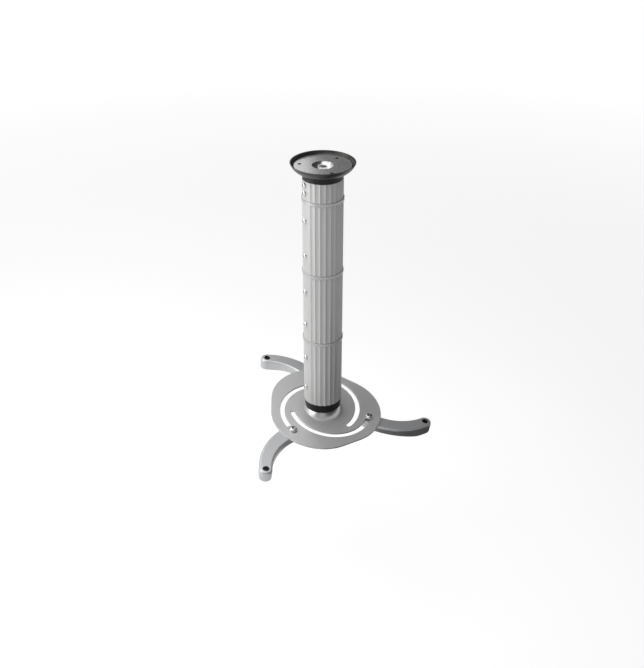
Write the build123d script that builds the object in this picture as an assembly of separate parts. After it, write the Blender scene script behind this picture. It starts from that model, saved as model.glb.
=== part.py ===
from build123d import *
import math
import os

# Projector ceiling mount: a modular fluted column hangs from a ceiling plate, and carries a slotted
# base plate on a ball joint, with three curved arms that bolt to the projector.
# Millimetres, +Z up. The origin is the centre of the ceiling plate's mounting face.

# Ceiling plate
CEILING_PLATE_D = 74.0
CEILING_PLATE_T = 2.0
CEILING_HOLE_D = 5.2
CEILING_HOLE_PCD = 60.0
CEILING_HOLE_COUNT = 3
CEILING_HOLE_ANGLE = 52.5
DIMPLE_D = 28.0
DIMPLE_DEPTH = 7.0
DIMPLE_FLOOR_D = 13.6

# Canopy
CANOPY_D = 84.6
CANOPY_HEIGHT = 12.5
CANOPY_RISE = 4.0
CANOPY_WALL = 1.4
CANOPY_BOWL_R = 20.0
CANOPY_CLEARANCE = 0.5

# Swivel fasteners at the ceiling
SWIVEL_BOLT_D = 6.0
SWIVEL_HEAD_AF = 10.0
SWIVEL_HEAD_H = 4.0
SWIVEL_NUT_H = 5.0
SWIVEL_WASHER_D = 12.0
SWIVEL_WASHER_T = 1.2
LOCK_WASHER_T = 1.6
LOCK_WASHER_GAP = 1.2
BOLT_END = 2.0
BOLT_CLEARANCE = 0.15

# Shapes of standard fasteners, as shares of their own size
HEX_CHAMFER_SHARE = 0.07
HEX_CORNER_SHARE = 0.62
LOCK_WASHER_SHARE = 0.9
PAN_SIDE_SHARE = 0.35
PAN_CROWN_SHARE = 0.55
PAN_SHOULDER_R_SHARE = 0.88
PAN_SHOULDER_H_SHARE = 0.78
RECESS_SPAN_SHARE = 0.6

# Fluted column
COLUMN_D = 54.0
COLUMN_WALL = 3.5
COLUMN_BORE_D = COLUMN_D - 2 * COLUMN_WALL
SEGMENT_LENGTH = 100.0
STUB_LENGTH = 26.0
FLUTE_COUNT = 24
FLUTE_DEPTH = 0.75
ARRIS_W = 0.35
LAND_FLUTES = 3
LAND_ANGLES = (30.0, 210.0)

# Joiners between the lengths of tube
JOINER_FLANGE_H = 3.9
JOINER_FLANGE_PROUD = 0.9
JOINER_WALL = 2.5
JOINER_LEG = 34.0
JOINER_STUB_LEG = 13.5
PLUG_CLEARANCE = 0.15

# Column screws
SCREW_D = 4.0
SCREW_HEAD_D = 7.6
SCREW_HEAD_H = 2.5
SCREW_INSET = 25.0
STUB_CAP_SCREW_INSET = 5.5
STUB_JOINER_SCREW_INSET = 9.5
SCREW_LENGTH = 5.8
SCREW_CLEARANCE = 0.15
RECESS_W = 0.9
RECESS_DEPTH = 0.9

# Black end caps
CAP_INSET = 0.5
COLLAR_SHOWN_H = 7.7
COLLAR_HIDDEN_H = 3.0
TOP_WEB_T = 8.0
TOP_PLUG_H = 11.0
RING_H = 13.0
RING_TAPER = 1.3
RING_GAP = 7.5
BOTTOM_WEB_T = 8.2
BOTTOM_PLUG_H = 32.0
CAP_WALL = 4.4

# Ball joint at the base
DOME_R = 29.0
DOME_FOOT_D = 54.0
DOME_TRIM_ANGLE = 85.0
BALL_CLEARANCE = 0.3
TILT_LIMIT = 15.0
TILT_MARGIN = 1.2
LINER_T = 1.2
BALL_WASHER_HALF_ANGLE = 41.5
BALL_WASHER_EDGE = 1.6
BASE_BOLT_D = 8.0
BASE_HEAD_AF = 13.0
BASE_HEAD_H = 5.3
BASE_NUT_H = 6.5

# How the base plate leans in the photograph
BASE_LEAN = 10.8
BASE_LEAN_HEADING = -48.0

# Base plate
BASE_PLATE_T = 2.0
LOBE_R = 68.5
LOBE_OFFSET = 16.0
LOBE_ANGLE = 2.0
DOME_BLEND_R = 1.0
PLATE_EDGE = 0.4
SLOT_W = 6.5
SLOT_ARC_R = 58.0
SLOT_OFFSET = 10.6
SLOT_ANGLE = 19.0
SLOT_START = 181.0
SLOT_SWEEP = 148.0

# Arms and their bolts
ARM_REACH = 84.0
ARM_BEND_R = 82.0
ARM_ROOT_R = 12.2
ARM_TIP_R = 9.0
ARM_T = 9.0
ARM_EDGE_R = 2.6
ARM_FOOT_DROP = 8.0
ARM_WALL = 3.0
ARM_ROOT_T = 6.0
ARM_FOOT_EDGE_R = 1.0
TIP_HOLE_D = 8.6
TIP_HOLE_CHAMFER = 0.4
ARM_BOLT_D = 6.0
ARM_BOLT_HEAD_D = 10.8
ARM_BOLT_HEAD_H = 3.8
ARM_NUT_AF = 10.0
ARM_NUT_H = 4.0
PIVOT_CLEARANCE = 0.08
SLIDE_CLEARANCE = 0.05

# Each arm: which slot, how far along it the bolt sits, and where the arm points, all in degrees
ARMS = {
    "right": (0.0, 327.5, 3.5),
    "left": (-120.0, 326.0, 246.0),
    "rear": (120.0, 315.0, 154.5),
}

STANDING = (Align.CENTER, Align.CENTER, Align.MIN)
HANGING = (Align.CENTER, Align.CENTER, Align.MAX)
SAME = 0.01

# Levels along the column
column_r = COLUMN_D / 2
bore_r = COLUMN_BORE_D / 2
cap_r = column_r - CAP_INSET
plug_r = bore_r - PLUG_CLEARANCE
seat_z = -(DIMPLE_DEPTH + CEILING_PLATE_T)
neck_z = CANOPY_RISE - CANOPY_HEIGHT
tube_top_z = neck_z - COLLAR_SHOWN_H
joint_1_z = tube_top_z - STUB_LENGTH
pitch = SEGMENT_LENGTH + JOINER_FLANGE_H
joint_2_z = joint_1_z - pitch
joint_3_z = joint_2_z - pitch
tube_end_z = joint_3_z - pitch

# Ball joint, worked out from the dome
dome_foot_r = DOME_FOOT_D / 2
plate_top = math.sqrt(DOME_R**2 - dome_foot_r**2)
plate_bottom = plate_top - BASE_PLATE_T
ball_z = tube_end_z - RING_H - RING_GAP - plate_top
dome_inner_r = DOME_R - BASE_PLATE_T
liner_outer_r = dome_inner_r - BALL_CLEARANCE
liner_inner_r = liner_outer_r - LINER_T
ball_washer_r = liner_inner_r - BALL_CLEARANCE
seat_r = DOME_R + BALL_CLEARANCE
bolt_swing = math.degrees(math.asin((BASE_BOLT_D / 2 + BOLT_CLEARANCE) / ball_washer_r))
hole_half_angle = bolt_swing + TILT_LIMIT + TILT_MARGIN
liner_half_angle = BALL_WASHER_HALF_ANGLE + TILT_LIMIT + TILT_MARGIN

arm_foot_t = ARM_T + ARM_FOOT_DROP


def polar(radius, degrees):
    """Point at a radius and an angle in plan."""
    turn = math.radians(degrees)
    return (radius * math.cos(turn), radius * math.sin(turn))


def on_sphere(radius, half_angle):
    """Point of a sphere's section at an angle from its pole."""
    turn = math.radians(half_angle)
    return (radius * math.sin(turn), radius * math.cos(turn))


def revolved(edges):
    """Solid of revolution about Z from section edges drawn as (radius, height)."""
    section = make_face(edges)
    return revolve(Plane.XZ * section, Axis.Z)


def ring(outer_r, inner_r, low, high):
    """Plain ring between two heights."""
    body = Cylinder(outer_r, high - low, align=STANDING)
    bore = Cylinder(inner_r, high - low, align=STANDING)
    return Pos(0, 0, low) * (body - bore)


def hexagon(across_flats, low, high):
    """Hexagonal prism between two heights, its corners eased as on a bolt head or nut."""
    height = high - low
    ease_h = across_flats * HEX_CHAMFER_SHARE
    prism = extrude(RegularPolygon(across_flats / 2, 6, major_radius=False), height)
    crown = Cone(across_flats * HEX_CORNER_SHARE, across_flats / 2, ease_h, align=STANDING)
    shaft = Cylinder(across_flats, height - ease_h, align=STANDING)
    return Pos(0, 0, low) * (prism & (shaft + Pos(0, 0, height - ease_h) * crown))


def hex_bolt(shank_d, across_flats, head_low, head_high, end_z):
    """Hex bolt on Z. The shank leaves the head towards end_z."""
    shank_r = shank_d / 2
    if end_z < head_low:
        shank = Cylinder(shank_r, head_low - end_z, align=STANDING)
        return hexagon(across_flats, head_low, head_high) + Pos(0, 0, end_z) * shank
    shank = Cylinder(shank_r, end_z - head_high, align=STANDING)
    return hexagon(across_flats, head_low, head_high) + Pos(0, 0, head_high) * shank


def hex_nut(bolt_d, across_flats, low, high):
    """Hex nut on Z with a plain bore."""
    bore = Cylinder(bolt_d / 2 + BOLT_CLEARANCE, 3 * (high - low))
    return hexagon(across_flats, low, high) - Pos(0, 0, (low + high) / 2) * bore


def lock_washer(bolt_d, low):
    """Split spring washer on Z."""
    outer_r = bolt_d * LOCK_WASHER_SHARE
    body = ring(outer_r, bolt_d / 2 + BOLT_CLEARANCE, low, low + LOCK_WASHER_T)
    split = Box(2 * outer_r, LOCK_WASHER_GAP, 3 * LOCK_WASHER_T)
    return body - Pos(outer_r, 0, low) * split


def pan_screw(shank_d, head_d, head_h, length):
    """Pan-head screw on Z: seat at zero, head above it with a cross recess, shank below."""
    head_r = head_d / 2
    crown_r = head_r * PAN_CROWN_SHARE
    side_h = head_h * PAN_SIDE_SHARE
    shoulder = (head_r * PAN_SHOULDER_R_SHARE, head_h * PAN_SHOULDER_H_SHARE)
    section = [
        Line((0, 0), (head_r, 0)),
        Line((head_r, 0), (head_r, side_h)),
        ThreePointArc((head_r, side_h), shoulder, (crown_r, head_h)),
        Line((crown_r, head_h), (0, head_h)),
        Line((0, head_h), (0, 0)),
    ]
    head = revolved(section)
    scale = head_d / SCREW_HEAD_D
    blade = Box(head_d * RECESS_SPAN_SHARE, RECESS_W * scale, 2 * RECESS_DEPTH * scale)
    recess = Pos(0, 0, head_h) * (blade + Rot(0, 0, 90) * blade)
    shank = Cylinder(shank_d / 2, length, align=HANGING)
    return head - recess + shank


def ceiling_plate():
    """Round plate with a spherical dimple that takes the swivel bolt's head."""
    rim_r = DIMPLE_D / 2
    floor_r = DIMPLE_FLOOR_D / 2
    depth = DIMPLE_DEPTH
    thick = CEILING_PLATE_T
    plate_r = CEILING_PLATE_D / 2
    hole_r = SWIVEL_BOLT_D / 2 + BOLT_CLEARANCE
    centre = (rim_r**2 - floor_r**2 - depth**2) / (2 * depth)
    inner = math.hypot(rim_r, centre)
    outer = inner + thick
    under_rim_r = math.sqrt(outer**2 - (centre + thick) ** 2)
    under_floor_r = math.sqrt(outer**2 - (centre + depth + thick) ** 2)

    def wall(sphere_r, start, end):
        middle_r = (start[0] + end[0]) / 2
        middle = (middle_r, centre - math.sqrt(sphere_r**2 - middle_r**2))
        return ThreePointArc(start, middle, end)

    section = [
        Line((hole_r, -depth), (floor_r, -depth)),
        wall(inner, (floor_r, -depth), (rim_r, 0)),
        Line((rim_r, 0), (plate_r, 0)),
        Line((plate_r, 0), (plate_r, -thick)),
        Line((plate_r, -thick), (under_rim_r, -thick)),
        wall(outer, (under_rim_r, -thick), (under_floor_r, -depth - thick)),
        Line((under_floor_r, -depth - thick), (hole_r, -depth - thick)),
        Line((hole_r, -depth - thick), (hole_r, -depth)),
    ]
    plate = revolved(section)
    holes = PolarLocations(CEILING_HOLE_PCD / 2, CEILING_HOLE_COUNT, CEILING_HOLE_ANGLE)
    for place in holes:
        plate -= place * Cylinder(CEILING_HOLE_D / 2, 4 * thick)
    return plate


def canopy():
    """Thin flared cover, open above and below, its neck round the collar."""
    rim_r = CANOPY_D / 2
    neck_r = cap_r + CANOPY_CLEARANCE
    rim_z = CANOPY_RISE
    section = [
        RadiusArc((rim_r, rim_z), (neck_r + CANOPY_WALL, neck_z), CANOPY_BOWL_R),
        Line((neck_r + CANOPY_WALL, neck_z), (neck_r, neck_z)),
        RadiusArc((neck_r, neck_z), (rim_r - CANOPY_WALL, rim_z), CANOPY_WALL - CANOPY_BOWL_R),
        Line((rim_r - CANOPY_WALL, rim_z), (rim_r, rim_z)),
    ]
    return revolved(section)


def cross_holes(body, height, hole_r):
    """Radial screw holes through a tube's wall on both lands."""
    for angle in LAND_ANGLES:
        drill = Pos(0, 0, height) * Rot(0, 0, angle) * Rot(0, 90, 0)
        body -= drill * Cylinder(hole_r, COLUMN_D, align=STANDING)
    return body


def fluted_section():
    """Tube section: hollow flutes between narrow arrises, and two plain lands for the screws."""
    pitch_angle = 360 / FLUTE_COUNT
    half_angle = math.radians(pitch_angle / 2) - ARRIS_W / (2 * column_r)
    half_chord = column_r * math.sin(half_angle)
    chord_at = column_r * math.cos(half_angle)
    rise = FLUTE_DEPTH - (column_r - chord_at)
    flute_r = (half_chord**2 + rise**2) / (2 * rise)
    centre_r = chord_at - rise + flute_r
    half_land = LAND_FLUTES * pitch_angle / 2
    section = Circle(column_r) - Circle(bore_r)
    for index in range(FLUTE_COUNT):
        angle = index * pitch_angle
        turns = [abs((angle - land + 180) % 360 - 180) for land in LAND_ANGLES]
        if min(turns) > half_land:
            section -= Pos(*polar(centre_r, angle)) * Circle(flute_r)
    return section


def column_tube(length, screw_heights):
    """Length of column hanging down from zero, drilled at the given depths."""
    tube = extrude(fluted_section(), -length)
    for depth in screw_heights:
        tube = cross_holes(tube, -depth, SCREW_D / 2 + SCREW_CLEARANCE)
    return tube


def joiner(up_leg, up_screw, down_leg, down_screw):
    """Sleeve inside two lengths of tube, with the flange between them. The flange's top is at zero."""
    inner_r = plug_r - JOINER_WALL
    flange_r = column_r + JOINER_FLANGE_PROUD
    sleeve = ring(plug_r, inner_r, -JOINER_FLANGE_H - down_leg, up_leg)
    body = sleeve + ring(flange_r, inner_r, -JOINER_FLANGE_H, 0)
    body = cross_holes(body, up_screw, SCREW_D / 2 + SCREW_CLEARANCE)
    return cross_holes(body, -JOINER_FLANGE_H - down_screw, SCREW_D / 2 + SCREW_CLEARANCE)


def column_screws(heights):
    """All the side screws of the column, two at each height."""
    screw = pan_screw(SCREW_D, SCREW_HEAD_D, SCREW_HEAD_H, SCREW_LENGTH)
    placed = []
    for height in heights:
        for angle in LAND_ANGLES:
            seat = Pos(0, 0, height) * Rot(0, 0, angle) * Pos(column_r, 0, 0) * Rot(0, 90, 0)
            placed.append(seat * screw)
    return Compound(children=placed)


def top_end_cap():
    """Black cap in the stub's top: collar, seat for the dimple and a plug in the tube."""
    hole_r = SWIVEL_BOLT_D / 2 + BOLT_CLEARANCE
    recess_r = DIMPLE_D / 2 + CEILING_PLATE_T + CANOPY_CLEARANCE
    top_z = neck_z + COLLAR_HIDDEN_H
    web_z = seat_z - TOP_WEB_T
    plug_z = tube_top_z - TOP_PLUG_H
    pocket_r = plug_r - CAP_WALL
    body = ring(cap_r, recess_r, seat_z, top_z)
    body += ring(cap_r, hole_r, tube_top_z, seat_z)
    body += ring(plug_r, pocket_r, plug_z, tube_top_z)
    body += ring(plug_r, hole_r, web_z, tube_top_z)
    return cross_holes(body, tube_top_z - STUB_CAP_SCREW_INSET, SCREW_D / 2 + SCREW_CLEARANCE)


def bottom_end_cap():
    """Black cap under the tube: tapered ring with a spherical seat for the dome, and a plug."""
    hole_r = BASE_BOLT_D / 2 + BOLT_CLEARANCE
    ring_low = tube_end_z - RING_H
    lip_r = math.sqrt(seat_r**2 - (ring_low - ball_z) ** 2)
    seat_top = ball_z + math.sqrt(seat_r**2 - hole_r**2)
    middle_r = (lip_r + hole_r) / 2
    middle_z = ball_z + math.sqrt(seat_r**2 - middle_r**2)
    web_z = ball_z + seat_r + BOTTOM_WEB_T
    plug_z = tube_end_z + BOTTOM_PLUG_H
    pocket_r = plug_r - CAP_WALL
    section = [
        Line((hole_r, seat_top), (hole_r, web_z)),
        Line((hole_r, web_z), (pocket_r, web_z)),
        Line((pocket_r, web_z), (pocket_r, plug_z)),
        Line((pocket_r, plug_z), (plug_r, plug_z)),
        Line((plug_r, plug_z), (plug_r, tube_end_z)),
        Line((plug_r, tube_end_z), (cap_r, tube_end_z)),
        Line((cap_r, tube_end_z), (cap_r - RING_TAPER, ring_low)),
        Line((cap_r - RING_TAPER, ring_low), (lip_r, ring_low)),
        ThreePointArc((lip_r, ring_low), (middle_r, middle_z), (hole_r, seat_top)),
    ]
    body = revolved(section)
    return cross_holes(body, tube_end_z + SCREW_INSET, SCREW_D / 2 + SCREW_CLEARANCE)


def dome_shell(outer_r, inner_r, from_angle, to_angle):
    """Zone of a spherical shell about the ball's centre, between two angles from its pole."""
    middle = (from_angle + to_angle) / 2
    section = [
        ThreePointArc(*(on_sphere(outer_r, turn) for turn in (from_angle, middle, to_angle))),
        Line(on_sphere(outer_r, to_angle), on_sphere(inner_r, to_angle)),
        ThreePointArc(*(on_sphere(inner_r, turn) for turn in (to_angle, middle, from_angle))),
        Line(on_sphere(inner_r, from_angle), on_sphere(outer_r, from_angle)),
    ]
    return revolved(section)


def slot_centre(slot_turn):
    """Centre of a slot's arc in plan."""
    return polar(SLOT_OFFSET, SLOT_ANGLE + slot_turn)


def base_plate():
    """Three-lobed plate with a drawn dome and three slots, each an arc about its own centre."""
    turns = [slot_turn for slot_turn, _, _ in ARMS.values()]
    outline = offset(RegularPolygon(LOBE_OFFSET, len(turns), rotation=LOBE_ANGLE), LOBE_R)
    under_r = math.sqrt(dome_inner_r**2 - plate_bottom**2)
    plate = outline - Circle(under_r)
    for turn in turns:
        path = CenterArc(slot_centre(turn), SLOT_ARC_R, SLOT_ANGLE + turn + SLOT_START, SLOT_SWEEP)
        plate -= SlotArc(path, SLOT_W)
    sheet = Pos(0, 0, plate_bottom) * extrude(plate, BASE_PLATE_T)
    rims = sheet.faces().sort_by(Axis.Z)[-1].edges().filter_by(
        lambda edge: edge.geom_type != GeomType.CIRCLE or abs(edge.radius - under_r) > SAME
    )
    sheet = chamfer(rims, PLATE_EDGE)
    full = dome_shell(DOME_R, dome_inner_r, hole_half_angle, DOME_TRIM_ANGLE)
    above = Cylinder(DOME_R, DOME_R, align=STANDING)
    body = sheet + (full & Pos(0, 0, plate_bottom) * above)
    foot = body.edges().filter_by(GeomType.CIRCLE).filter_by(
        lambda edge: abs(edge.radius - dome_foot_r) < SAME and abs(edge.center().Z - plate_top) < SAME
    )
    return fillet(foot, DOME_BLEND_R)


def base_ball_washer():
    """Solid washer with a spherical upper face and a flat seat for the bolt's head."""
    hole_r = BASE_BOLT_D / 2 + BOLT_CLEARANCE
    rim_r, rim_z = on_sphere(ball_washer_r, BALL_WASHER_HALF_ANGLE)
    low_z = rim_z - BALL_WASHER_EDGE
    hole_angle = math.degrees(math.asin(hole_r / ball_washer_r))
    middle_angle = (hole_angle + BALL_WASHER_HALF_ANGLE) / 2
    hole_top = on_sphere(ball_washer_r, hole_angle)
    section = [
        Line((hole_r, low_z), (rim_r, low_z)),
        Line((rim_r, low_z), (rim_r, rim_z)),
        ThreePointArc((rim_r, rim_z), on_sphere(ball_washer_r, middle_angle), hole_top),
        Line(hole_top, (hole_r, low_z)),
    ]
    return revolved(section), low_z


def meeting_point(first, first_r, second, second_r):
    """The meeting point of two circles that lies left of the line from first to second."""
    span = Vector(*second) - Vector(*first)
    gap = span.length
    along = (gap**2 + first_r**2 - second_r**2) / (2 * gap)
    aside = math.sqrt(first_r**2 - along**2)
    unit = span / gap
    return (first[0] + unit.X * along - unit.Y * aside, first[1] + unit.Y * along + unit.X * aside)


def arm_outline(inset):
    """Curved taper from the bolt's boss at the origin to the tip's boss, drawn in by an inset."""
    root = (0.0, 0.0)
    tip = (ARM_REACH, 0.0)
    root_r = ARM_ROOT_R - inset
    tip_r = ARM_TIP_R - inset
    half_width = (root_r + tip_r) / 2
    outer_r = ARM_BEND_R + half_width
    inner_r = ARM_BEND_R - half_width
    outer = Vector(*meeting_point(root, outer_r - root_r, tip, outer_r - tip_r))
    inner = Vector(*meeting_point(root, inner_r + root_r, tip, inner_r + tip_r))

    def towards(centre, point, radius):
        """Point on a circle in the direction of another point."""
        return centre + (Vector(*point) - centre).normalized() * radius

    def between(centre, start, end, radius):
        """Middle of a circle's arc between two of its points."""
        return centre + ((start + end) / 2 - centre).normalized() * radius

    def ahead(across):
        """Direction along the arm where this line crosses it."""
        return Vector(-across.Y, across.X).normalized()

    outer_root = towards(outer, root, outer_r)
    outer_tip = towards(outer, tip, outer_r)
    inner_root = towards(inner, root, inner_r)
    inner_tip = towards(inner, tip, inner_r)
    root_end = Vector(*root) - ahead(outer_root - inner_root) * root_r
    tip_end = Vector(*tip) + ahead(outer_tip - inner_tip) * tip_r
    return make_face([
        ThreePointArc(outer_root, between(outer, outer_root, outer_tip, outer_r), outer_tip),
        ThreePointArc(outer_tip, tip_end, inner_tip),
        ThreePointArc(inner_tip, between(inner, inner_tip, inner_root, inner_r), inner_root),
        ThreePointArc(inner_root, root_end, outer_root),
    ])


def arm_side_view():
    """The arm's depth below its flat top: shallow at the bolt, sweeping down to a level foot at the tip."""
    heel = (ARM_REACH - ARM_TIP_R, -arm_foot_t)
    toe_x = ARM_REACH + ARM_TIP_R
    section = make_face([
        Line((-ARM_ROOT_R, 0), (toe_x, 0)),
        Line((toe_x, 0), (toe_x, -arm_foot_t)),
        Line((toe_x, -arm_foot_t), heel),
        TangentArc((0, -ARM_T), heel, tangent=(1, 0)),
        Line((0, -ARM_T), (-ARM_ROOT_R, -ARM_T)),
        Line((-ARM_ROOT_R, -ARM_T), (-ARM_ROOT_R, 0)),
    ])
    return extrude(Plane.XZ * section, ARM_REACH, both=True)


def arm():
    """Cast arm, its bolt hole at the origin and its flat top at zero, hollow underneath."""
    body = extrude(arm_outline(0), -arm_foot_t) & arm_side_view()
    body = fillet(body.edges().group_by(Axis.Z)[-1], ARM_EDGE_R)
    body = fillet(body.edges().group_by(Axis.Z)[0], ARM_FOOT_EDGE_R)
    hollow = Pos(0, 0, -ARM_ROOT_T) * extrude(arm_outline(ARM_WALL), -arm_foot_t)
    body -= hollow - Pos(ARM_REACH, 0, 0) * Cylinder(ARM_TIP_R, 4 * arm_foot_t)
    body -= Cylinder(ARM_BOLT_D / 2 + PIVOT_CLEARANCE, 4 * arm_foot_t)
    body -= Pos(ARM_REACH, 0, 0) * Cylinder(TIP_HOLE_D / 2, 4 * arm_foot_t)
    mouth = body.edges().filter_by(GeomType.CIRCLE).filter_by(
        lambda edge: abs(edge.radius - TIP_HOLE_D / 2) < SAME and abs(edge.center().Z) < SAME
    )
    return chamfer(mouth, TIP_HOLE_CHAMFER)


def arm_place(name):
    """Where an arm's bolt stands in the base plate's own frame, turned to the arm's heading."""
    slot_turn, along, heading = ARMS[name]
    centre = slot_centre(slot_turn)
    step = polar(SLOT_ARC_R, SLOT_ANGLE + slot_turn + along)
    return Pos(centre[0] + step[0], centre[1] + step[1], 0) * Rot(0, 0, heading)


def column_parts():
    """Everything from the ceiling to the ball's centre that stays in line with the column."""
    swivel_washer_top = -DIMPLE_DEPTH + SWIVEL_WASHER_T
    top_web_z = seat_z - TOP_WEB_T
    swivel_nut_top = top_web_z - LOCK_WASHER_T
    swivel_end = swivel_nut_top - SWIVEL_NUT_H - BOLT_END
    bottom_web_z = ball_z + seat_r + BOTTOM_WEB_T
    base_nut_low = bottom_web_z + LOCK_WASHER_T
    base_end = base_nut_low + BASE_NUT_H + BOLT_END
    ball_washer, washer_low = base_ball_washer()
    head_high = ball_z + washer_low
    first_leg = joiner(JOINER_STUB_LEG, STUB_JOINER_SCREW_INSET, JOINER_LEG, SCREW_INSET)
    full_leg = joiner(JOINER_LEG, SCREW_INSET, JOINER_LEG, SCREW_INSET)
    stub_screws = (STUB_CAP_SCREW_INSET, STUB_LENGTH - STUB_JOINER_SCREW_INSET)
    segment_screws = (SCREW_INSET, SEGMENT_LENGTH - SCREW_INSET)
    segment = column_tube(SEGMENT_LENGTH, segment_screws)
    segment_tops = [joint - JOINER_FLANGE_H for joint in (joint_1_z, joint_2_z, joint_3_z)]
    screw_heights = [tube_top_z - depth for depth in stub_screws]
    screw_heights += [top - depth for top in segment_tops for depth in segment_screws]
    parts = {
        "ceiling_plate": ceiling_plate(),
        "canopy": canopy(),
        "swivel_bolt": hex_bolt(
            SWIVEL_BOLT_D, SWIVEL_HEAD_AF, swivel_washer_top, swivel_washer_top + SWIVEL_HEAD_H, swivel_end
        ),
        "swivel_washer": ring(
            SWIVEL_WASHER_D / 2, SWIVEL_BOLT_D / 2 + BOLT_CLEARANCE, -DIMPLE_DEPTH, swivel_washer_top
        ),
        "swivel_lock_washer": lock_washer(SWIVEL_BOLT_D, swivel_nut_top),
        "swivel_nut": hex_nut(SWIVEL_BOLT_D, SWIVEL_HEAD_AF, swivel_nut_top - SWIVEL_NUT_H, swivel_nut_top),
        "top_end_cap": top_end_cap(),
        "column_stub": Pos(0, 0, tube_top_z) * column_tube(STUB_LENGTH, stub_screws),
        "joiner_upper": Pos(0, 0, joint_1_z) * first_leg,
        "joiner_middle": Pos(0, 0, joint_2_z) * full_leg,
        "joiner_lower": Pos(0, 0, joint_3_z) * full_leg,
        "column_screws": column_screws(screw_heights),
        "bottom_end_cap": bottom_end_cap(),
        "base_bolt": hex_bolt(BASE_BOLT_D, BASE_HEAD_AF, head_high - BASE_HEAD_H, head_high, base_end),
        "base_lock_washer": lock_washer(BASE_BOLT_D, bottom_web_z),
        "base_nut": hex_nut(BASE_BOLT_D, BASE_HEAD_AF, base_nut_low, base_nut_low + BASE_NUT_H),
        "base_ball_washer": Pos(0, 0, ball_z) * ball_washer,
    }
    for name, top in zip(("upper", "middle", "lower"), segment_tops):
        parts["column_segment_" + name] = Pos(0, 0, top) * segment
    return parts


def base_parts():
    """Everything that leans with the base plate, built about the ball's centre."""
    parts = {
        "base_plate": base_plate(),
        "base_liner": dome_shell(liner_outer_r, liner_inner_r, hole_half_angle, liner_half_angle),
    }
    head_low = plate_top + SLIDE_CLEARANCE
    arm_top = plate_bottom - SLIDE_CLEARANCE
    nut_high = arm_top - ARM_ROOT_T - SLIDE_CLEARANCE
    bolt_length = head_low - nut_high + ARM_NUT_H
    arm_body = Pos(0, 0, arm_top) * arm()
    bolt = Pos(0, 0, head_low) * pan_screw(ARM_BOLT_D, ARM_BOLT_HEAD_D, ARM_BOLT_HEAD_H, bolt_length)
    nut = hex_nut(ARM_BOLT_D, ARM_NUT_AF, nut_high - ARM_NUT_H, nut_high)
    for name in ARMS:
        place = arm_place(name)
        parts["arm_" + name] = place * arm_body
        parts["arm_bolt_" + name] = place * bolt
        parts["arm_nut_" + name] = place * nut
    lean_axis = Axis((0, 0, 0), (*polar(1, BASE_LEAN_HEADING + 90), 0))
    return {name: Pos(0, 0, ball_z) * part.rotate(lean_axis, BASE_LEAN) for name, part in parts.items()}


os.makedirs("parts", exist_ok=True)
for node, part in {**column_parts(), **base_parts()}.items():
    export_step(part, "parts/" + node + ".step")
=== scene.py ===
import math

import bpy
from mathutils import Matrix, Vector

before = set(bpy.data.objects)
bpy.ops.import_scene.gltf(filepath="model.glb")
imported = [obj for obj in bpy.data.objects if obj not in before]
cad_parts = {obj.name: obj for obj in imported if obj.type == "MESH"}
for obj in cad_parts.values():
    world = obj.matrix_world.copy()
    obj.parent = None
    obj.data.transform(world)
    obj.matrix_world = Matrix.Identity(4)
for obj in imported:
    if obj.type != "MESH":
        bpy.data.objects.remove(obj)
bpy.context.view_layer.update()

# Places in the part's own frame, in metres
UP = (0.0, 0.0, 1.0)
CEILING_CENTRE = (0.0, 0.0, 0.0)
DIMPLE_R = 0.014
BALL_CENTRE = (0.0, 0.0, -0.384983)
PLATE_AXIS = (0.125383, -0.139251, 0.982287)
DOME_POLISH_R = 0.0245
TIP_HOLES = (
    (0.14901, -0.00357, -0.40468),
    (-0.07774, -0.12756, -0.39331),
    (-0.08630, 0.09924, -0.36007),
)
TIP_HOLE_R = 0.0043
# Outside a polished middle or a hole, the distance over which its look gives way; in a hole that look is a
# painted shade
POLISH_FADE = 0.0025
HOLE_FADE_START = 0.0001
HOLE_FADE_END = 0.0004

# Noise textures, and the values between which nearly all of their pattern lies
NOISE_DETAIL = 2.0
NOISE_DETAIL_MORE = 3.0
NOISE_ROUGHNESS = 0.55
NOISE_LOW = 0.3
NOISE_HIGH = 0.7
BLAST_CLOUD = 22.0
TUBE_LINES = 60.0
TUBE_CLOUD = 14.0
TUBE_STRETCH = (1.0, 1.0, 0.02)
FASTENER_GRAIN = 900.0
PLATE_GRAIN = 1400.0
PLATE_CLOUD = 40.0

# How far each finish goes darker and lighter, as shares of its colour
BLAST_SPREAD = (0.05, 0.05)
TUBE_SPREAD = (0.04, 0.04)
FASTENER_SPREAD = (0.06, 0.04)
MOULD_SPREAD = (0.15, 0.15)
POLISH_SPREAD = (0.03, 0.02)
POLISH_WARMTH = 0.01

# Roughness along a grain: shifts for the dull finishes, factors for the bright ones
SATIN_SHIFT = (-0.04, 0.05)
TUBE_SHIFT = (-0.05, 0.06)
FASTENER_FACTORS = (0.8, 1.25)
POLISH_FACTORS = (0.95, 1.08)

# Bump: its distance in metres, and each finish's strength
BUMP_DISTANCE = 0.0002
BLAST_BUMP = 0.08
TUBE_BUMP = 0.06
MOULD_BUMP = 0.05
PLATE_BUMP = 0.03

# The Mix node's sockets for colours and for numbers: first, second and result
MIX_COLOURS = (6, 7, 2)
MIX_NUMBERS = (2, 3, 0)

# Lamps: name, place, the point that it faces, width and height in metres, power in watts
LAMPS = (
    ("key_left", (-0.85, -0.22, -0.04), (0.0, 0.0, -0.24), 0.7, 0.8, 4.5),
    ("overhead_left", (-0.38, 0.08, 0.55), (-0.36, 0.06, -0.38), 1.16, 1.2, 8.8),
    ("fill_front", (0.0, -1.35, 0.25), (0.0, 0.0, -0.36), 1.0, 0.4, 0.9),
    ("strip_front", (-0.1, -0.75, 0.85), (0.0, 0.0, -0.38), 0.7, 0.12, 1.2),
    ("back_low", (-0.2, 0.36, 0.15), (0.0, 0.0, 0.0), 0.4, 0.24, 0.36),
)

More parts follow.
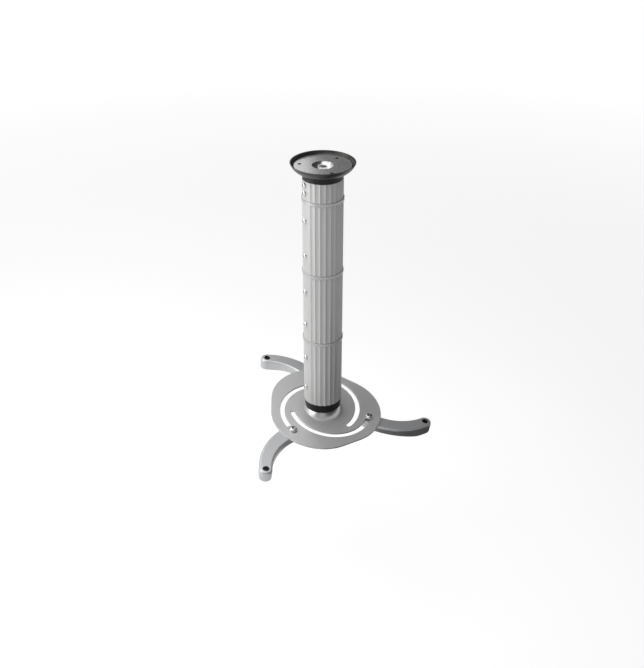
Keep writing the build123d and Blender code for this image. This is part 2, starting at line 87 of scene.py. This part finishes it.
# The studio card under the right arm: its corners in plan, its height and its paint
CARD_LOW = (0.02, -0.24)
CARD_HIGH = (0.42, 0.12)
CARD_Z = -0.49
CARD_PAINT = (0.03, 0.03, 0.03, 1.0)

# The floor's sweep from its flat part up to its wall, as radius and height, and its paint
FLOOR_Z = -0.62
SWEEP = ((5.0, 0.0), (18.0, 0.0), (19.0, 0.1), (19.7, 0.4), (20.0, 0.9), (20.1, 2.2))
SWEEP_STEPS = 96
FLOOR_PAINT = (0.45, 0.45, 0.45, 1.0)
MATT = 0.9
# How strongly the floor shows white, as distance from the part's origin and strength
GLOW_NEAR = (0.9, 0.70)
GLOW_FAR = (2.6, 0.93)

# The surroundings: their tint, their strength on each side, and where the dark side starts
WORLD_TINT = (1.0, 1.0, 1.02, 1.0)
WORLD_LEFT = 0.40
WORLD_RIGHT = 0.06
WORLD_DARK_FROM = 0.2

# The camera of the photograph, its angles in degrees
CAMERA_PLACE = (0.0, -1.1805, 0.466)
CAMERA_DROP = 31.23
CAMERA_TURN = 0.055
FOCAL_PX = 990.0
FRAME_H_PX = 668.0
SENSOR_MM = 36.0
CLIP_START = 0.01
CLIP_END = 100.0


def grey(level, warm=0.0):
    """Red, green and blue of a grey, which leans to red where it is warm."""
    return (level * (1 + warm), level, level * (1 - warm))


def scaled(colour, factor):
    """An opaque colour, made darker or lighter."""
    return tuple(part * factor for part in colour) + (1.0,)


class Shader:
    """A material's node tree, with short calls for the nodes used here."""

    def __init__(self, name):
        self.material = bpy.data.materials.new(name)
        self.material.use_nodes = True
        self.tree = self.material.node_tree
        self.surface = self.tree.nodes["Principled BSDF"]

    def put(self, socket, value):
        """Links an input to a node's output, or sets it to a constant."""
        if isinstance(value, bpy.types.NodeSocket):
            self.tree.links.new(value, socket)
        else:
            socket.default_value = value

    def set(self, **values):
        """Fills the surface's inputs. An underscore in a name stands for a space."""
        for key, value in values.items():
            self.put(self.surface.inputs[key.replace("_", " ")], value)

    def node(self, kind, output, inputs=None, **settings):
        """One output of a new node with these inputs and settings."""
        made = self.tree.nodes.new(kind)
        for key, value in settings.items():
            setattr(made, key, value)
        for key, value in (inputs or {}).items():
            self.put(made.inputs[key], value)
        return made.outputs[output]

    def place(self):
        """The point on the object, in its own frame."""
        return self.node("ShaderNodeTexCoord", "Object")

    def stretched(self, factors):
        """The same point with each axis scaled, for grain that runs one way."""
        return self.node("ShaderNodeMapping", "Vector", {"Vector": self.place(), "Scale": factors})

    def noise(self, vector, scale, detail=NOISE_DETAIL):
        inputs = {"Vector": vector, "Scale": scale, "Detail": detail, "Roughness": NOISE_ROUGHNESS}
        return self.node("ShaderNodeTexNoise", "Fac", inputs)

    def ranged(self, value, low, high, to_low, to_high):
        """A number moved from one range to another, and held at its ends."""
        inputs = {"Value": value, "From Min": low, "From Max": high, "To Min": to_low, "To Max": to_high}
        return self.node("ShaderNodeMapRange", "Result", inputs)

    def varied(self, grain, low, high):
        """A number that goes from low to high with a grain."""
        return self.ranged(grain, NOISE_LOW, NOISE_HIGH, low, high)

    def shifted(self, grain, middle, shift):
        """A number that a grain takes to either side of its middle value."""
        return self.varied(grain, middle + shift[0], middle + shift[1])

    def factored(self, grain, middle, factors):
        """A number that a grain takes from its middle value times one factor to times the other."""
        return self.varied(grain, middle * factors[0], middle * factors[1])

    def mixed(self, factor, first, second):
        """Colour between two colours."""
        one, two, result = MIX_COLOURS
        return self.node("ShaderNodeMix", result, {"Factor": factor, one: first, two: second}, data_type="RGBA")

    def blended(self, factor, first, second):
        """Number between two numbers."""
        one, two, result = MIX_NUMBERS
        return self.node("ShaderNodeMix", result, {"Factor": factor, one: first, two: second}, data_type="FLOAT")

    def toned(self, factor, colour, spread):
        """A colour that goes from its darker tone to its lighter one."""
        darker, lighter = spread
        return self.mixed(factor, scaled(colour, 1 - darker), scaled(colour, 1 + lighter))

    def combined(self, operation, first, second):
        """Two numbers put together by a Math node."""
        return self.node("ShaderNodeMath", 0, {0: first, 1: second}, operation=operation)

    def length(self, vector):
        return self.node("ShaderNodeVectorMath", "Value", {0: vector}, operation="LENGTH")

    def axis_distance(self, centre, axis):
        """Distance of the point from a line through a centre."""
        away = self.node("ShaderNodeVectorMath", "Vector", {0: self.place(), 1: centre}, operation="SUBTRACT")
        across = self.node("ShaderNodeVectorMath", "Vector", {0: away, 1: axis}, operation="CROSS_PRODUCT")
        return self.length(across)

    def outside_holes(self):
        """0 in the arms' bored tip holes and 1 outside them."""
        nearest = self.axis_distance(TIP_HOLES[0], PLATE_AXIS)
        for centre in TIP_HOLES[1:]:
            nearest = self.combined("MINIMUM", nearest, self.axis_distance(centre, PLATE_AXIS))
        return self.ranged(nearest, TIP_HOLE_R + HOLE_FADE_START, TIP_HOLE_R + HOLE_FADE_END, 0.0, 1.0)

    def bump(self, height, strength):
        inputs = {"Height": height, "Strength": strength, "Distance": BUMP_DISTANCE}
        self.set(Normal=self.node("ShaderNodeBump", "Normal", inputs))


def blasted_metal(name, level, rough, metallic, grain, warm=0.0, hole_shade_level=None):
    """Blasted metal with a fine even grain. With a hole shade level, the bored tip holes are painted dark grey,
    a painted shade that stands for the little light inside them.
    """
    shader = Shader(name)
    fine = shader.noise(shader.place(), grain)
    cloud = shader.noise(shader.place(), BLAST_CLOUD)
    colour = shader.toned(cloud, grey(level, warm), BLAST_SPREAD)
    if hole_shade_level is not None:
        # Painted shade: the bored tip holes take a dark grey that stands for the shade inside them
        colour = shader.mixed(shader.outside_holes(), scaled(grey(hole_shade_level), 1.0), colour)
    shader.set(Base_Color=colour, Roughness=shader.shifted(fine, rough, SATIN_SHIFT), Metallic=metallic)
    shader.bump(fine, BLAST_BUMP)
    return shader.material


def drawn_metal(name, level, rough, metallic, warm):
    """Extruded metal with faint lines along its length."""
    shader = Shader(name)
    lines = shader.noise(shader.stretched(TUBE_STRETCH), TUBE_LINES, NOISE_DETAIL_MORE)
    cloud = shader.noise(shader.place(), TUBE_CLOUD)
    colour = shader.toned(cloud, grey(level, warm), TUBE_SPREAD)
    shader.set(Base_Color=colour, Roughness=shader.shifted(lines, rough, TUBE_SHIFT), Metallic=metallic)
    shader.bump(lines, TUBE_BUMP)
    return shader.material


def bright_metal(name, level, rough, warm=0.0):
    """Plated fastener."""
    shader = Shader(name)
    fine = shader.noise(shader.place(), FASTENER_GRAIN)
    colour = shader.toned(fine, grey(level, warm), FASTENER_SPREAD)
    shader.set(Base_Color=colour, Roughness=shader.factored(fine, rough, FASTENER_FACTORS), Metallic=1.0)
    return shader.material


def moulded(name, colour, rough, grain, gloss=0.5):
    """Moulded plastic with a fine texture."""
    shader = Shader(name)
    fine = shader.noise(shader.place(), grain, NOISE_DETAIL_MORE)
    tone = shader.toned(fine, colour, MOULD_SPREAD)
    shader.set(Base_Color=tone, Roughness=shader.shifted(fine, rough, SATIN_SHIFT), Specular_IOR_Level=gloss)
    shader.bump(fine, MOULD_BUMP)
    return shader.material


def polished_plate(
    name, level, spread, rough, metallic, stretch, centre, axis, polish_r, polish_level, polish_rough
):
    """Satin plate, its grain drawn out by the stretch, whose pressed middle is polished."""
    shader = Shader(name)
    outside = shader.ranged(shader.axis_distance(centre, axis), polish_r, polish_r + POLISH_FADE, 0.0, 1.0)
    fine = shader.noise(shader.stretched(stretch), PLATE_GRAIN)
    cloud = shader.noise(shader.stretched(stretch), PLATE_CLOUD, NOISE_DETAIL_MORE)
    satin = shader.toned(cloud, grey(level), (spread, spread))
    bright = shader.toned(cloud, grey(polish_level, POLISH_WARMTH), POLISH_SPREAD)
    satin_rough = shader.shifted(fine, rough, SATIN_SHIFT)
    bright_rough = shader.factored(cloud, polish_rough, POLISH_FACTORS)
    shader.set(
        Base_Color=shader.mixed(outside, bright, satin),
        Roughness=shader.blended(outside, bright_rough, satin_rough),
        Metallic=shader.ranged(outside, 0.0, 1.0, 1.0, metallic),
    )
    shader.bump(fine, PLATE_BUMP)
    return shader.material


column_metal = drawn_metal("column_anodised", level=0.58, rough=0.46, metallic=0.25, warm=0.008)
joiner_metal = blasted_metal("joiner_anodised", level=0.49, rough=0.40, metallic=0.5, grain=1200.0)
# The arms' tip holes get a painted shade of dark grey
arm_metal = blasted_metal(
    "arm_cast", level=0.52, rough=0.36, metallic=0.65, grain=1500.0, warm=-0.015, hole_shade_level=0.10
)
black_cap = moulded("cap_black", colour=(0.010, 0.010, 0.011), rough=0.42, grain=1600.0, gloss=0.25)
canopy_black = moulded("canopy_black", colour=(0.018, 0.018, 0.016), rough=0.34, grain=1600.0)
fastener = bright_metal("fastener_bright", level=0.66, rough=0.16)
washer_zinc = bright_metal("washer_zinc", level=0.62, rough=0.28, warm=0.01)
nylon = moulded("liner_nylon", colour=(0.72, 0.70, 0.66), rough=0.45, grain=900.0)
ceiling_zinc = polished_plate(
    "ceiling_zinc", level=0.46, spread=0.08, rough=0.23, metallic=0.85, stretch=(0.25, 1.0, 1.0),
    centre=CEILING_CENTRE, axis=UP, polish_r=DIMPLE_R, polish_level=0.48, polish_rough=0.27
)
base_satin = polished_plate(
    "base_satin", level=0.54, spread=0.04, rough=0.40, metallic=0.50, stretch=(1.0, 1.0, 1.0),
    centre=BALL_CENTRE, axis=PLATE_AXIS, polish_r=DOME_POLISH_R, polish_level=0.56, polish_rough=0.32
)

# The first start that fits a node's name gives its look, and all other nodes are fasteners
LOOKS = (
    ("ceiling_plate", ceiling_zinc),
    ("canopy", canopy_black),
    ("top_end_cap", black_cap),
    ("bottom_end_cap", black_cap),
    ("column_stub", column_metal),
    ("column_segment", column_metal),
    ("joiner", joiner_metal),
    ("base_plate", base_satin),
    ("base_ball_washer", washer_zinc),
    ("base_liner", nylon),
    ("arm_bolt", fastener),
    ("arm_nut", fastener),
    ("arm", arm_metal),
)
for name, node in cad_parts.items():
    fitting = [look for start, look in LOOKS if name.startswith(start)]
    node.data.materials.clear()
    node.data.materials.append(fitting[0] if fitting else fastener)


def add_object(name, data):
    """A new object in the scene."""
    made = bpy.data.objects.new(name, data)
    bpy.context.scene.collection.objects.link(made)
    return made


def softbox(name, place, target, width, height, watts):
    """Rectangular studio lamp turned towards a point."""
    lamp = bpy.data.lights.new(name, "AREA")
    lamp.shape = "RECTANGLE"
    lamp.size = width
    lamp.size_y = height
    lamp.energy = watts
    thing = add_object(name, lamp)
    thing.location = place
    aim = Vector(target) - Vector(place)
    thing.rotation_euler = aim.to_track_quat("-Z", "Y").to_euler()
    thing.visible_camera = False


def black_card(name):
    """Level studio card that only reflections see, where it takes the place of the floor's white."""
    left, front = CARD_LOW
    right, back = CARD_HIGH
    plan = ((left, front), (right, front), (right, back), (left, back))
    mesh = bpy.data.meshes.new(name)
    mesh.from_pydata([(x, y, CARD_Z) for x, y in plan], [], [(0, 1, 2, 3)])
    shader = Shader(name)
    shader.set(Base_Color=CARD_PAINT, Roughness=MATT)
    mesh.materials.append(shader.material)
    card = add_object(name, mesh)
    card.visible_camera = False
    card.visible_diffuse = False
    card.visible_shadow = False


def floor_white():
    """Matt paint that glows for the camera and in reflections, less near the part, so its shadow shows."""
    shader = Shader("floor_white")
    shader.set(Base_Color=FLOOR_PAINT, Roughness=MATT)
    rays = shader.tree.nodes.new("ShaderNodeLightPath").outputs
    seen = shader.combined("MAXIMUM", rays["Is Camera Ray"], rays["Is Glossy Ray"])
    seen = shader.combined("MAXIMUM", seen, rays["Is Transmission Ray"])
    near, near_level = GLOW_NEAR
    far, far_level = GLOW_FAR
    level = shader.ranged(shader.length(shader.place()), near, far, near_level, far_level)
    strength = shader.combined("MULTIPLY", seen, level)
    glow = shader.node("ShaderNodeEmission", "Emission", {"Strength": strength})
    both = shader.node("ShaderNodeAddShader", "Shader", {0: shader.surface.outputs["BSDF"], 1: glow})
    shader.put(shader.tree.nodes["Material Output"].inputs["Surface"], both)
    return shader.material


def pale_floor():
    """Round floor that sweeps up into a low wall far out."""
    points = [(0.0, 0.0, FLOOR_Z)]
    for radius, height in SWEEP:
        for step in range(SWEEP_STEPS):
            turn = math.tau * step / SWEEP_STEPS
            points.append((radius * math.cos(turn), radius * math.sin(turn), FLOOR_Z + height))
    faces = []
    for step in range(SWEEP_STEPS):
        after = (step + 1) % SWEEP_STEPS
        faces.append((0, 1 + step, 1 + after))
        for ring in range(len(SWEEP) - 1):
            inner = 1 + ring * SWEEP_STEPS
            outer = inner + SWEEP_STEPS
            faces.append((inner + step, outer + step, outer + after, inner + after))
    mesh = bpy.data.meshes.new("floor")
    mesh.from_pydata(points, [], faces)
    mesh.shade_smooth()
    mesh.materials.append(floor_white())
    floor = add_object("floor", mesh)


def studio_world():
    """Pale surroundings whose strength falls off from left to right."""
    world = bpy.data.worlds.new("studio")
    bpy.context.scene.world = world
    world.use_nodes = True
    tree = world.node_tree
    background = tree.nodes["Background"]
    background.inputs["Color"].default_value = WORLD_TINT
    around = tree.nodes.new("ShaderNodeTexCoord")
    split = tree.nodes.new("ShaderNodeSeparateXYZ")
    level = tree.nodes.new("ShaderNodeMapRange")
    level.inputs["From Min"].default_value = -1.0
    level.inputs["From Max"].default_value = WORLD_DARK_FROM
    level.inputs["To Min"].default_value = WORLD_LEFT
    level.inputs["To Max"].default_value = WORLD_RIGHT
    tree.links.new(around.outputs["Generated"], split.inputs["Vector"])
    tree.links.new(split.outputs["X"], level.inputs["Value"])
    tree.links.new(level.outputs["Result"], background.inputs["Strength"])


def photo_camera():
    """The camera that sees the part as the photograph does."""
    lens = bpy.data.cameras.new("camera")
    lens.sensor_width = SENSOR_MM
    lens.lens = FOCAL_PX / FRAME_H_PX * SENSOR_MM
    lens.clip_start = CLIP_START
    lens.clip_end = CLIP_END
    camera = add_object("camera", lens)
    camera.location = CAMERA_PLACE
    camera.rotation_euler = (math.radians(90 - CAMERA_DROP), 0.0, math.radians(CAMERA_TURN))
    bpy.context.scene.camera = camera


for lamp in LAMPS:
    softbox(*lamp)
black_card("card_below")
pale_floor()
studio_world()
photo_camera()
bpy.context.scene.view_settings.view_transform = "Standard"
